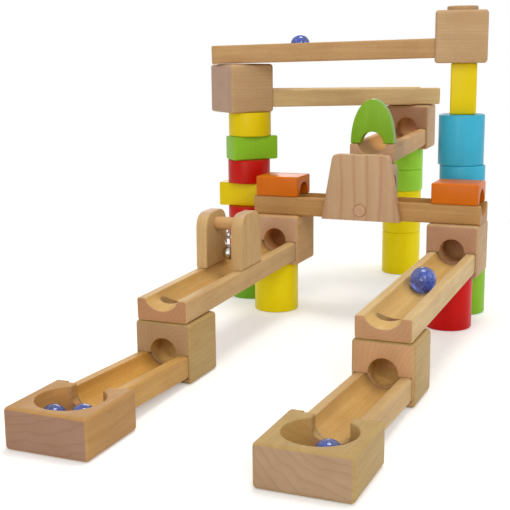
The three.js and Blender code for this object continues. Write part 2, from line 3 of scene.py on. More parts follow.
import bmesh
import bpy
from mathutils import Matrix, Vector


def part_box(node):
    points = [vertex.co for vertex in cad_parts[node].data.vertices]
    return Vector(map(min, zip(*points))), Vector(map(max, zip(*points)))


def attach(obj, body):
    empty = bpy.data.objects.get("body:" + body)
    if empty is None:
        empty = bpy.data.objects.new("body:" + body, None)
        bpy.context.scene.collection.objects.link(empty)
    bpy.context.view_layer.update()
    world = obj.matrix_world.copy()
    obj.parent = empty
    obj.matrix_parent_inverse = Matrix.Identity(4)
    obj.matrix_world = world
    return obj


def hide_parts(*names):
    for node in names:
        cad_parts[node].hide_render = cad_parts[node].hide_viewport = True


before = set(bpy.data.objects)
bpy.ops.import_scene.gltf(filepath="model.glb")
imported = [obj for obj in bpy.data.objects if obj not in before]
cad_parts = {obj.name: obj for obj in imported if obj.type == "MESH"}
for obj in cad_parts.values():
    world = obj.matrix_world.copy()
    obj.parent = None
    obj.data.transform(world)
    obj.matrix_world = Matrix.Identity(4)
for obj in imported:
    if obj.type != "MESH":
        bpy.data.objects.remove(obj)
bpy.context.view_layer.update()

DEG = math.pi / 180
MM = 0.001

# ---- sizes, as in the CAD (mm)
GAP = 0.3
CUBE, CUBE_EDGE = 40.0, 2.5
HOLE_AXIS = 20.0
OUTLET_BORE, DROP_BORE = 18.5, 20.0
SEAT_HEIGHT, SEAT_DEPTH = 4.0, 4.0
TRACK_WIDTH, TRACK_THICK, TRACK_EDGE = 36.0, 15.0, 1.6
GROOVE_RADIUS, GROOVE_DEPTH = 11.7, 9.4
LOW_GROOVE_START, LOW_GROOVE_END = 8.8, 12.0
SEAT_LOOK = 0.3  # the seats are drawn closer to their tracks than they are cut
MARBLE, RIGHT_MARBLE = 16.0, 18.0
CYLINDER, CYLINDER_EDGE = 36.0, 1.2
TALL, SHORT = 40.0, 20.0
BRICK = (40.0, 20.0, 20.0)
BRICK_EDGE = 1.4
BRIDGE_SPAN, BRIDGE_WIDTH = 144.6, 30.0
TUNNEL = dict(length=36.0, height=16.0, bore=20.0, crown=11.0)
ARCH = dict(width=34.6, height=34.8, thickness=12.0, notch=18.6)
RIGHT_RUN, LEFT_RUN = 186.0, 194.7
RIGHT_TRAY_RUN, LEFT_TRAY_RUN = 132.8, 127.5
TRAY = dict(side=53.0, height=24.5, edge=2.6, bowl=39.6, floor=3.4, seat=7.4)
LANE = dict(width=21.0, sag=6.5)
ENTRY = dict(x=63.6, y=38.6, bottom=200.0, skew=6.8)
ENTRY_COLUMN = (66.5, 38.6)
CORNER = dict(x=-120.7, y=28.0, bottom=160.0)
TURN = dict(x=-9.1, y=166.6, bottom=120.0)
COLLAR = dict(diameter=24.0, bore=18.5, height=3.5)
TOWER_X = 0.3
TOWER = dict(width=40.0, height=27.0, edge=5.0, shaft=20.0)
CHEEK = dict(top=45.0, bottom=63.0, height=51.5, thickness=8.0, corner=4.0)
TURN_END_Y = 8.0
DOWEL, DOWEL_PROUD, DOWEL_HEIGHT = 9.6, 1.0, 8.0
ROCKER = dict(width=19.6, hub=6.8, wing=19.0, thickness=4.0, vane=20.0, vane_thickness=3.4)
ROCKER_PLAY, VANE_PLAY, ROCKER_RUNNING_FIT = 0.25, 0.5, 0.1
ROCKER_TILT = 15.0
WING_PLAY, VANE_IN_CROWN = 0.28, 3.0
GATE = dict(y=-108.5, length=37.0, height=39.6, thickness=8.5, corner=12.0, lean=1.5)
GATE_DOWEL, GATE_DOWEL_HEIGHT, GATE_SOCKET = 9.4, 30.3, 5.5
WIRE = 1.1
EYE = dict(ring=2.5, drop=3.9)
BELL = dict(radius=5.2, wall=0.5, loop=3.2, slot=1.2, keyhole=2.4, pellet=3.6)
TOP_MARBLE_RUN, RIGHT_MARBLE_RUN = 116.0, 92.0
PAIR = dict(gap=0.5, heading=22.0, lean=152.0)  # the left tray's two marbles, angles in degrees
LONE_MARBLE = (3.7, 2.4)  # from the middle of the right tray's bowl

# The layout is measured from the middle of the bridge, which the frame places.
low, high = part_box("bridge_track")
ORIGIN = Vector(((low.x + high.x) / 2 / MM, (low.y + high.y) / 2 / MM, 0))
CUT = 30.0  # how far cutters run past what they cut
LIP = dict(rise=0.52, fall=0.34)  # share of the groove's depth


# ---- mesh helpers (mm, local frames)
def new_bmesh(data=None):
    bm = bmesh.new()
    if data is not None:
        bm.from_mesh(data)
    return bm


def to_mesh(bm, name="piece"):
    data = bpy.data.meshes.new(name)
    bmesh.ops.recalc_face_normals(bm, faces=bm.faces)
    bm.to_mesh(data)
    bm.free()
    return data


def moved(data, matrix):
    data.transform(matrix)
    return data


def shift(data, x=0.0, y=0.0, z=0.0):
    return moved(data, Matrix.Translation((x, y, z)))


def turned(data, degrees, axis):
    return moved(data, Matrix.Rotation(degrees * DEG, 4, axis))


def rounded_box(sx, sy, sz, edge, segments=4):
    """A box centred in x and y, standing on z = 0."""
    bm = new_bmesh()
    bmesh.ops.create_cube(bm, size=1.0)
    bmesh.ops.scale(bm, vec=(sx, sy, sz), verts=bm.verts)
    bmesh.ops.translate(bm, vec=(0, 0, sz / 2), verts=bm.verts)
    if edge > 0:
        bmesh.ops.bevel(bm, geom=list(bm.edges), offset=edge, segments=segments, profile=0.5,
                        affect="EDGES", clamp_overlap=True)
    return to_mesh(bm)


def ring_surface(rings, closed=False, caps=True):
    """Joins rings of points, each ring closed on itself, into one surface."""
    bm = new_bmesh()
    rows = [[bm.verts.new(p) for p in ring] for ring in rings]
    count = len(rows[0])
    pairs = list(zip(rows, rows[1:]))
    if closed:
        pairs.append((rows[-1], rows[0]))
    for a, b in pairs:
        for i in range(count):
            j = (i + 1) % count
            bm.faces.new((a[i], a[j], b[j], b[i]))
    if caps and not closed:
        bm.faces.new(list(reversed(rows[0])))
        bm.faces.new(rows[-1])
    return to_mesh(bm)


def lathe(profile, segments=96):
    """Turns (radius, z) points about Z. A point on the axis becomes one vertex."""
    bm = new_bmesh()
    rows = []
    for radius, z in profile:
        if radius < 1e-6:
            rows.append([bm.verts.new((0, 0, z))])
            continue
        rows.append([bm.verts.new((radius * math.cos(t), radius * math.sin(t), z))
                     for t in around(segments)])
    for a, b in zip(rows, rows[1:]):
        for i in range(segments):
            j = (i + 1) % segments
            if len(a) == 1 and len(b) == 1:
                continue
            if len(a) == 1:
                bm.faces.new((a[0], b[j], b[i]))
            elif len(b) == 1:
                bm.faces.new((a[i], a[j], b[0]))
            else:
                bm.faces.new((a[i], a[j], b[j], b[i]))
    return to_mesh(bm)


def around(count):
    """Even steps round a full turn, in radians."""
    return [2 * math.pi * k / count for k in range(count)]


def arc(cx, cy, radius, start, end, steps):
    """Points on an arc, angles in degrees, both ends included."""
    return [(cx + radius * math.cos(a * DEG), cy + radius * math.sin(a * DEG))
            for a in (start + (end - start) * k / steps for k in range(steps + 1))]


def rod(diameter, bottom, top, edge=0.0, segments=72):
    radius = diameter / 2
    if edge <= 0:
        return lathe([(0, bottom), (radius, bottom), (radius, top), (0, top)], segments)
    profile = [(0, bottom)]
    profile += arc(radius - edge, bottom + edge, edge, -90, 0, 4)
    profile += arc(radius - edge, top - edge, edge, 0, 90, 4)
    profile += [(0, top)]
    return lathe(profile, segments)


def soft_rim(radius, top, flare):
    """The rim of a bore that opens upwards at z = top."""
    return [(radius + flare * (1 - math.cos(a * DEG)), top - flare + flare * math.sin(a * DEG))
            for a in (0, 30, 60, 90)]


def flared(diameter, bottom, top, flare, segments):
    """A cutter for a bore that opens upwards at z = top with a softened rim."""
    radius = diameter / 2
    rim = soft_rim(radius, top, flare)
    outside = [(radius + flare, top + 0.01), (radius + flare, top + CUT)]
    return lathe([(0, bottom), (radius, bottom)] + rim + outside + [(0, top + CUT)], segments)


def inset_outline(points, amount):
    """Moves each point of a closed anticlockwise outline inwards."""
    count = len(points)
    result = []
    for i, (x, y) in enumerate(points):
        ax, ay = points[i - 1]
        bx, by = points[(i + 1) % count]
        first = Vector((x - ax, y - ay))
        second = Vector((bx - x, by - y))
        normal = Vector((0.0, 0.0))
        for side in (first, second):
            if side.length > 1e-9:
                normal += Vector((-side.y, side.x)) / side.length
        if normal.length < 1e-9:
            result.append((x, y))
            continue
        normal.normalize()
        reach = 1.0
        if first.length > 1e-9:
            lean = (Vector((-first.y, first.x)) / first.length).dot(normal)
            reach = 1 / max(lean, 0.5)
        result.append((x + normal.x * amount * reach, y + normal.y * amount * reach))
    return result


def bar(outline_at, length, edge=1.0, steps=4, middle=1):
    """An outline in (y, z) carried along +X from 0 to length, with rounded end edges.
    outline_at gives the outline at a distance along the bar, drawn in by an amount."""
    stations = [(edge * (1 - math.cos(a * DEG)), edge * (1 - math.sin(a * DEG)))
                for a in (90 * k / steps for k in range(steps + 1))]
    body = [(edge + (length - 2 * edge) * k / (middle + 1), 0.0) for k in range(1, middle + 1)]
    all_stations = stations + body + [(length - x, inset) for x, inset in reversed(stations)]
    rings = []
    for x, inset in all_stations:
        rings.append([(x, y, z) for y, z in outline_at(x, inset)])
    return ring_surface(rings)


def plate(outline, thickness, edge=1.0, steps=4):
    """An outline in (x, z), thickness along Y, centred on y = 0, with rounded rims."""
    data = bar(lambda _, inset: inset_outline(outline, inset), thickness, edge, steps, middle=0)
    shift(data, x=-thickness / 2)
    return turned(data, -90, "Z")


def rounded_corners(corners, steps=6):
    """An outline from (x, z, radius) corners given anticlockwise."""
    points = []
    count = len(corners)
    for i, (x, z, radius) in enumerate(corners):
        if radius <= 0:
            points.append((x, z))
            continue
        here = Vector((x, z))
        before = (Vector(corners[i - 1][:2]) - here).normalized()
        after = (Vector(corners[(i + 1) % count][:2]) - here).normalized()
        start, end = here + before * radius, here + after * radius
        for k in range(steps + 1):
            t = k / steps
            p = start * (1 - t) ** 2 + here * 2 * t * (1 - t) + end * t ** 2
            points.append((p.x, p.y))
    return points


def boolean(base, cutters, operation="DIFFERENCE"):
    scene = bpy.context.scene
    target = bpy.data.objects.new("work", base)
    scene.collection.objects.link(target)
    helpers = []
    for cutter in cutters:
        helper = bpy.data.objects.new("cutter", cutter)
        scene.collection.objects.link(helper)
        step = target.modifiers.new("cut", "BOOLEAN")
        step.operation = operation
        step.solver = "EXACT"
        step.object = helper
        helpers.append(helper)
    bpy.context.view_layer.update()
    graph = bpy.context.evaluated_depsgraph_get()
    result = bpy.data.meshes.new_from_object(target.evaluated_get(graph))
    for helper in helpers + [target]:
        bpy.data.objects.remove(helper)
    return result


def cut(base, *cutters):
    return boolean(base, cutters)


def join(base, *others):
    return boolean(base, others, "UNION")


def mark_faces(data, name, chosen):
    """Keeps 1 on the faces that chosen(centre, normal) picks."""
    mark = data.attributes.new(name, "FLOAT", "FACE")
    for face in data.polygons:
        mark.data[face.index].value = 1.0 if chosen(face.center, face.normal) else 0.0


# ---- pieces
def hole_block(skew=0.0):
    depth = SEAT_DEPTH + TRACK_WIDTH / 2 * math.sin(skew)
    body = rounded_box(CUBE, CUBE, CUBE, CUBE_EDGE, 5)
    radius = DROP_BORE / 2
    flare = 0.8
    heel = arc(0, HOLE_AXIS, radius, -90, 0, 10)
    heel[0] = (0, heel[0][1])
    rim = soft_rim(radius, CUBE, flare)
    top = [(radius + flare, CUBE + CUT), (0, CUBE + CUT)]
    drop = lathe(heel + rim + top, 80)
    outlet = turned(flared(OUTLET_BORE, 0, CUBE / 2, 0.7, 80), 90, "Y")
    shift(outlet, z=HOLE_AXIS)
    seat = rounded_box(
        depth + CUT,
        TRACK_WIDTH + SEAT_LOOK + 2 * SEAT_DEPTH * math.sin(skew),
        TRACK_THICK + SEAT_LOOK + GAP,
        0.4, 2,
    )
    shift(seat, CUBE / 2 - depth + (depth + CUT) / 2, 0, SEAT_HEIGHT - GAP)
    block = cut(body, drop, outlet, seat)
    # the walls of the drop, heel and outlet are marked to take painted light in the material
    mark_faces(block, "bore", in_bore)
    return block


def in_bore(at, normal):
    """Whether a point of a hole block lies on the wall of its drop, its rounded heel or its outlet."""
    upright = abs(math.hypot(at.x, at.y) - DROP_BORE / 2) + abs(normal.z)
    heel = abs(Vector((at.x, at.y, at.z - HOLE_AXIS)).length - DROP_BORE / 2)
    outlet = abs(math.hypot(at.y, at.z - HOLE_AXIS) - OUTLET_BORE / 2) + abs(normal.x)
    outlet += 0 if at.x > 0 else CUBE
    inside = max(abs(at.x), abs(at.y)) < CUBE / 2 - 0.2 and at.z < CUBE - 0.2
    return inside and min(upright, heel, outlet) < 0.4


def track_outline(width, depth, inset, rise=0.0):
    """Anticlockwise in (y, z): underside, right side, right land, groove, left land, left side."""
    half, top = width / 2 - inset, TRACK_THICK - inset
    edge = max(TRACK_EDGE - inset, 0.3)
    centre = TRACK_THICK - depth + GROOVE_RADIUS
    radius = GROOVE_RADIUS + inset
    rim = math.degrees(math.asin((top - centre) / radius))
    rim_y = radius * math.cos(rim * DEG)
    soft = 2.4
    shoulder = [(rim_y + 0.5, top), (rim_y + 0.16, top - 0.1)]
    hollow = arc(0, centre, radius, rim - soft, -180 - rim + soft, 30)
    points = arc(half - edge, inset + edge, edge, -90, 0, 4)
    points += arc(half - edge, top - edge, edge, 0, 90, 4)
    points += shoulder
    points += [(y, top - (top - z) * (1 - rise)) for y, z in hollow]
    points += [(-y, z) for y, z in reversed(shoulder)]
    points += arc(-half + edge, top - edge, edge, 90, 180, 4)
    points += arc(-half + edge, inset + edge, edge, 180, 270, 4)
    return points


def track(length, width=TRACK_WIDTH, drops=(), start=GROOVE_DEPTH, end=GROOVE_DEPTH):
    """A grooved track. Past its last drop hole the groove's floor rises to a lip that stops the marble."""
    stop = drops[-1] if drops and width == TRACK_WIDTH else length

    def outline(x, inset):
        past = (x - stop) / (DROP_BORE / 2)
        rise = LIP["rise"] * min(max(past, 0.0), 1.0) - LIP["fall"] * min(max(past - 1.0, 0.0), 1.0)
        return track_outline(width, start + (end - start) * x / length, inset, rise)

    body = bar(outline, length, 1.0, 4, middle=48)
    if drops:
        body = cut(body, *[shift(rod(DROP_BORE, -CUT, TRACK_THICK + CUT, 0, 80), x) for x in drops])
    mark_faces(body, "cut", lambda at, normal: (
        abs(at.y) < GROOVE_RADIUS and at.z > TRACK_THICK / 5 and normal.z > 0.01 and abs(normal.x) < 0.5))
    return body


def round_block(height):
    return rod(CYLINDER, 0, height, CYLINDER_EDGE, 112)


def brick():
    return rounded_box(*BRICK, BRICK_EDGE, 4)


def upright_brick():
    data = shift(brick(), z=-BRICK[2] / 2)
    turned(data, 90, "Y")
    return shift(data, z=BRICK[0] / 2)


def tray():
    side, height = TRAY["side"], TRAY["height"]
    body = shift(rounded_box(side, side, height, TRAY["edge"], 6), side / 2)
    radius, floor = TRAY["bowl"] / 2, TRAY["floor"]
    foot, rim = 2.5, 1.0
    profile = [(0, floor)] + arc(radius - foot, floor + foot, foot, -90, 0, 6)
    profile += soft_rim(radius, height, rim)
    profile += [(radius + rim, height + CUT), (0, height + CUT)]
    hollow = shift(lathe(profile, 96), side / 2)
    half, sag, soft = LANE["width"] / 2, LANE["sag"], 0.6
    spring = TRACK_THICK + TRAY["seat"] - LOW_GROOVE_END + sag
    shape = [(half * math.cos(a * DEG), spring + sag * math.sin(a * DEG)) for a in range(180, 361, 6)]
    shape += [(half, height - soft), (half + soft, height), (half + soft, height + CUT),
              (-half - soft, height + CUT), (-half - soft, height), (-half, height - soft)]
    lane = bar(lambda *_: shape, side / 2 + 1, 0.01, 1)
    shift(lane, x=-1)
    rest = rounded_box(SEAT_DEPTH + CUT, TRACK_WIDTH + SEAT_LOOK, height + CUT, 0.4, 2)
    shift(rest, SEAT_DEPTH - (SEAT_DEPTH + CUT) / 2, 0, TRAY["seat"] - GAP)
    body = cut(body, hollow, lane, rest)
    # the bowl's walls are marked to take painted light in the material
    mark_faces(body, "bore", lambda at, normal: (
        math.hypot(at.x - side / 2, at.y) < radius + 0.2 and at.z < height - rim))
    return body


def collar():
    outer, inner, height = COLLAR["diameter"] / 2, COLLAR["bore"] / 2, COLLAR["height"]
    edge = 1.0
    profile = arc(inner + 0.5, 0.5, 0.5, 180, 270, 3) + arc(outer - 0.5, 0.5, 0.5, -90, 0, 3)
    profile += arc(outer - edge, height - edge, edge, 0, 90, 5)
    profile += arc(inner + edge, height - edge, edge, 90, 180, 5)
    rings = [[(r * math.cos(t), r * math.sin(t), z) for r, z in profile]
             for t in around(96)]
    return ring_surface(rings, closed=True)


def arched_way(length, width, crown):
    half = width / 2
    spring = max(crown - half, 0)
    outline = [(-half, -CUT), (half, -CUT), (half, spring)]
    outline += [(half * math.cos(a * DEG), spring + (crown - spring) * math.sin(a * DEG))
                for a in (180 * k / 28 for k in range(1, 28))]
    outline.append((-half, spring))
    data = bar(lambda *_: outline, length + 2 * CUT, 0.01, 1)
    return shift(data, x=-(length / 2 + CUT))


def tunnel():
    body = rounded_box(TUNNEL["length"], BRIDGE_WIDTH, TUNNEL["height"], BRICK_EDGE, 4)
    return cut(body, arched_way(TUNNEL["length"], TUNNEL["bore"], TUNNEL["crown"]))


def oval_arch():
    half, height, notch = ARCH["width"] / 2, ARCH["height"], ARCH["notch"] / 2
    outline = [(notch, 0.0), (half, 0.0)]
    outline += [(half * math.cos(a * DEG), height * math.sin(a * DEG))
                for a in (180 * k / 64 for k in range(1, 64))]
    outline += [(-half, 0.0), (-notch, 0.0)]
    outline += [(notch * math.cos(a * DEG), notch * math.sin(a * DEG))
                for a in (180 - 180 * k / 32 for k in range(1, 32))]
    data = bar(lambda _, inset: inset_outline(outline, inset), ARCH["thickness"], 0.9, 4, middle=0)
    return shift(data, x=-ARCH["thickness"] / 2)


BRIDGE_BOTTOM = 2 * CUBE
BRIDGE_TOP = BRIDGE_BOTTOM + TRACK_THICK
TOWER_TOP = BRIDGE_TOP + TOWER["height"]
PIVOT_HEIGHT = BRIDGE_BOTTOM + DOWEL_HEIGHT
CHEEK_FRONT = -BRIDGE_WIDTH / 2 - CHEEK["thickness"]


def tower_block():
    half, height, edge = TOWER["width"] / 2, TOWER["height"], TOWER["edge"]
    outline = rounded_corners([(-half, 0, 0), (half, 0, 0), (half, height, edge), (-half, height, edge)])
    body = plate(outline, BRIDGE_WIDTH, 0.7, 3)
    tunnel_width = ROCKER["width"] + 2 * VANE_PLAY
    vane_top = DOWEL_HEIGHT + ROCKER["vane"] * math.cos(ROCKER_TILT * DEG)
    vane_top += ROCKER["vane_thickness"] / 2 * math.sin(ROCKER_TILT * DEG)
    spring = vane_top - TRACK_THICK - VANE_IN_CROWN
    way = arched_way(TOWER["width"], tunnel_width, spring + tunnel_width / 2)
    return cut(body, way, rod(TOWER["shaft"], 1, height + CUT, 0, 80))


def tower_cheek():
    top, bottom, height = CHEEK["top"] / 2, CHEEK["bottom"] / 2, CHEEK["height"]
    corner = CHEEK["corner"]
    outline = rounded_corners([(-bottom, 0, 0), (bottom, 0, 0), (top, height, corner),
                               (-top, height, corner)])
    body = plate(outline, CHEEK["thickness"], 0.9, 4)
    bore = turned(rod(DOWEL + 2 * GAP, -CUT, CUT), 90, "X")
    return cut(body, shift(bore, z=DOWEL_HEIGHT))


def rocker():
    width, hub, wing = ROCKER["width"], ROCKER["hub"], ROCKER["wing"]
    thick, half_vane = ROCKER["thickness"], ROCKER["vane_thickness"] / 2
    round_part = turned(rod(2 * hub, -width / 2, width / 2, 0.5), 90, "X")
    wings = rounded_box(2 * wing, width, thick, 1.0, 3)
    vane = ROCKER["vane"]
    outline = rounded_corners([(-half_vane, 1, 0), (half_vane, 1, 0), (half_vane, vane, half_vane),
                               (-half_vane, vane, half_vane)])
    body = join(round_part, wings, plate(outline, width - 0.02, 0.5, 2))
    bore = turned(rod(DOWEL + 2 * ROCKER_RUNNING_FIT, -CUT, CUT), 90, "X")
    return turned(cut(body, bore), ROCKER_TILT, "Y")


def bridge():
    length = BRIDGE_SPAN + CUBE
    middle = length / 2 + TOWER_X
    base = track(length, BRIDGE_WIDTH, (CUBE / 2, length - CUBE / 2))
    pocket = ROCKER["width"] + 2 * ROCKER_PLAY
    ledge = DOWEL_HEIGHT - ROCKER["wing"] * math.sin(ROCKER_TILT * DEG) - WING_PLAY
    ledges = shift(rounded_box(2 * ROCKER["wing"] + 2, pocket, CUT, 0.3, 1), middle, 0, ledge)
    well = shift(rounded_box(2 * ROCKER["hub"] + 1.4, pocket, 2 * CUT, 0, 1), middle, 0, -CUT)
    bore = shift(turned(rod(DOWEL + 2 * GAP, -CUT, CUT), 90, "X"), middle, 0, DOWEL_HEIGHT)
    return cut(base, ledges, well, bore)


def gate_plate(inward):
    half, height = GATE["length"] / 2, GATE["height"]
    corner, lean = GATE["corner"], GATE["lean"]
    outline = rounded_corners([(-half, 0, 0), (half, 0, 0), (half - lean, height, corner),
                               (-half + lean, height, corner)], 12)
    socket = turned(rod(GATE_DOWEL + 0.1, 0, CUT), -90 * inward, "X")
    shift(socket, 0, inward * (GATE["thickness"] / 2 - GATE_SOCKET), GATE_DOWEL_HEIGHT)
    return cut(plate(outline, GATE["thickness"], 0.9, 4), socket)


def wire_ring(radius, wire=WIRE, steps=48, across=14):
    """A wire ring in the XZ plane, its hole along Y."""
    rings = []
    for t in around(steps):
        rings.append([((radius + wire / 2 * math.cos(s)) * math.cos(t), wire / 2 * math.sin(s),
                       (radius + wire / 2 * math.cos(s)) * math.sin(t))
                      for s in around(across)])
    return ring_surface(rings, closed=True)


EYE_CENTRE = GATE_DOWEL_HEIGHT - GATE_DOWEL / 2 - EYE["drop"]
PIVOT_WIRE = EYE_CENTRE - EYE["ring"] + WIRE + GAP
BELL_CENTRE = PIVOT_WIRE - 2 * BELL["loop"] - WIRE / 2 - BELL["radius"]


def screw_eye():
    bottom = EYE_CENTRE + EYE["ring"] - WIRE / 4
    shank = rod(WIRE, bottom, GATE_DOWEL_HEIGHT - GATE_DOWEL / 2 - 0.02, 0, 20)
    return join(shift(wire_ring(EYE["ring"]), z=EYE_CENTRE), shank)


def bell_shell():
    radius, wall = BELL["radius"], BELL["wall"]

    def ball(size):
        return shift(lathe([(size * math.sin(a * DEG), -size * math.cos(a * DEG)) if 0 < a < 180
                            else (0, -size if a == 0 else size) for a in range(0, 181, 5)], 64),
                     z=BELL_CENTRE)

    shell = cut(ball(radius), ball(radius - wall))
    slot = shift(rounded_box(BELL["slot"], 2 * radius, radius, 0.3, 2), 0, 0, BELL_CENTRE - 1.2 * radius)
    holes = [shift(turned(rod(BELL["keyhole"], -CUT, 0, 0, 32), side * 50, "X"), z=BELL_CENTRE)
             for side in (-1, 1)]
    shell = cut(shell, slot, *holes)
    section = [(radius - 0.12 + 0.3 * math.cos(s), BELL_CENTRE + 0.22 * math.sin(s))
               for s in around(10)]
    seam = [[(r * math.cos(t), r * math.sin(t), z) for r, z in section]
            for t in around(64)]
    crown = BELL_CENTRE + radius
    neck = lathe([(0, crown - wall / 2), (1.5, crown - 0.3), (1.1, crown + 0.25), (0.7, crown + 0.9),
                  (0, crown + 1.1)], 32)
    loop = turned(wire_ring(BELL["loop"]), 90, "Z")
    shift(loop, z=PIVOT_WIRE - BELL["loop"])
    return join(shell, ring_surface(seam, closed=True), neck, loop)


def ball(diameter, steps, down):
    radius = diameter / 2
    profile = [(0, -radius)]
    profile += [(radius * math.sin(a), -radius * math.cos(a))
                for a in (math.pi * k / down for k in range(1, down))]
    profile += [(0, radius)]
    return lathe(profile, steps)


# ---- materials
def linear(value):
    value /= 255
    return value / 12.92 if value <= 0.04045 else ((value + 0.055) / 1.055) ** 2.4


def rgb(r, g, b):
    return (linear(r), linear(g), linear(b), 1.0)


class Nodes:
    """Small shorthand for building a node tree."""

    def __init__(self, owner, output="ShaderNodeOutputMaterial"):
        self.owner = owner
        owner.use_nodes = True
        self.tree = owner.node_tree
        self.tree.nodes.clear()
        self.output = self.add(output)

    def add(self, kind, **settings):
        node = self.tree.nodes.new(kind)
        for key, value in settings.items():
            setattr(node, key, value)
        return node

    def link(self, source, target):
        self.tree.links.new(source, target)

    def feed(self, socket, value):
        if isinstance(value, bpy.types.NodeSocket):
            self.link(value, socket)
        elif value is not None:
            socket.default_value = value

    def math(self, operation, a, b=None, c=None):
        node = self.add("ShaderNodeMath", operation=operation)
        for socket, value in zip(node.inputs, (a, b, c)):
            self.feed(socket, value)
        return node.outputs[0]

    def vector(self, operation, a, b=None):
        node = self.add("ShaderNodeVectorMath", operation=operation)
        self.feed(node.inputs[0], a)
        self.feed(node.inputs[1], b)
        return node.outputs["Value" if operation in ("LENGTH", "DOT_PRODUCT") else "Vector"]

    def split(self, vector):
        node = self.add("ShaderNodeSeparateXYZ")
        self.link(vector, node.inputs[0])
        return node.outputs

    def combine(self, x, y, z):
        node = self.add("ShaderNodeCombineXYZ")
        for socket, value in zip(node.inputs, (x, y, z)):
            self.feed(socket, value)
        return node.outputs[0]

    def noise(self, vector, scale=1.0, detail=2.0, roughness=0.5):
        node = self.add("ShaderNodeTexNoise")
        self.link(vector, node.inputs["Vector"])
        for key, value in (("Scale", scale), ("Detail", detail), ("Roughness", roughness)):
            node.inputs[key].default_value = value
        return node.outputs["Fac"]

    def ramp(self, factor, *stops):
        """Maps a value through (position, value) stops, smoothly."""
        node = self.add("ShaderNodeValToRGB")
        node.color_ramp.interpolation = "EASE"
        while len(node.color_ramp.elements) < len(stops):
            node.color_ramp.elements.new(0.5)
        for element, (position, value) in zip(node.color_ramp.elements, stops):
            element.position = position
            element.color = (value, value, value, 1) if isinstance(value, (int, float)) else value
        self.link(factor, node.inputs[0])
        return node.outputs[0]

    def mix(self, factor, a, b, blend="MIX"):
        node = self.add("ShaderNodeMix", data_type="RGBA", blend_type=blend)
        node.clamp_factor = True
        self.feed(node.inputs[0], factor)
        self.feed(node.inputs[6], a)
        self.feed(node.inputs[7], b)
        return node.outputs[2]

    def attribute(self, name, kind="Fac"):
        """A property of the piece."""
        return self.add("ShaderNodeAttribute", attribute_type="OBJECT", attribute_name=name).outputs[kind]

    def surface_value(self, name):
        """A value kept on the piece's faces."""
        return self.add("ShaderNodeAttribute", attribute_type="GEOMETRY", attribute_name=name).outputs["Fac"]

    def place(self):
        """The point on the piece in its own frame, in millimetres."""
        coordinates = self.add("ShaderNodeTexCoord").outputs["Object"]
        return self.vector("MULTIPLY", coordinates, (1000.0, 1000.0, 1000.0))

    def seen(self):
        """1 for rays that show the background: from the camera, by reflection or through glass."""
        path = self.add("ShaderNodeLightPath").outputs
        bounced = self.math("MAXIMUM", path["Is Glossy Ray"], path["Is Transmission Ray"])
        return self.math("MAXIMUM", path["Is Camera Ray"], bounced)

    def choose(self, factor, first, second):
        node = self.add("ShaderNodeMixShader")
        for socket, value in zip(node.inputs, (factor, first, second)):
            self.link(value, socket)
        return node.outputs[0]

    def bump(self, height, strength, distance):
        node = self.add("ShaderNodeBump")
        node.inputs["Strength"].default_value = strength
        node.inputs["Distance"].default_value = distance * MM
        self.link(height, node.inputs["Height"])
        return node.outputs[0]

    def principled(self, **sockets):
        node = self.add("ShaderNodeBsdfPrincipled")
        for key, value in sockets.items():
            self.feed(node.inputs[key.replace("_", " ")], value)
        self.link(node.outputs[0], self.output.inputs["Surface"])


BORE_PAINTED_LIGHT = (1.22, 1.12, 1.0, 1)  # painted light: lightens the walls of the holes and of the trays' bowls, which the lamps leave in shade
GROOVE_WARMTH = (1.0, 0.93, 0.70, 1)


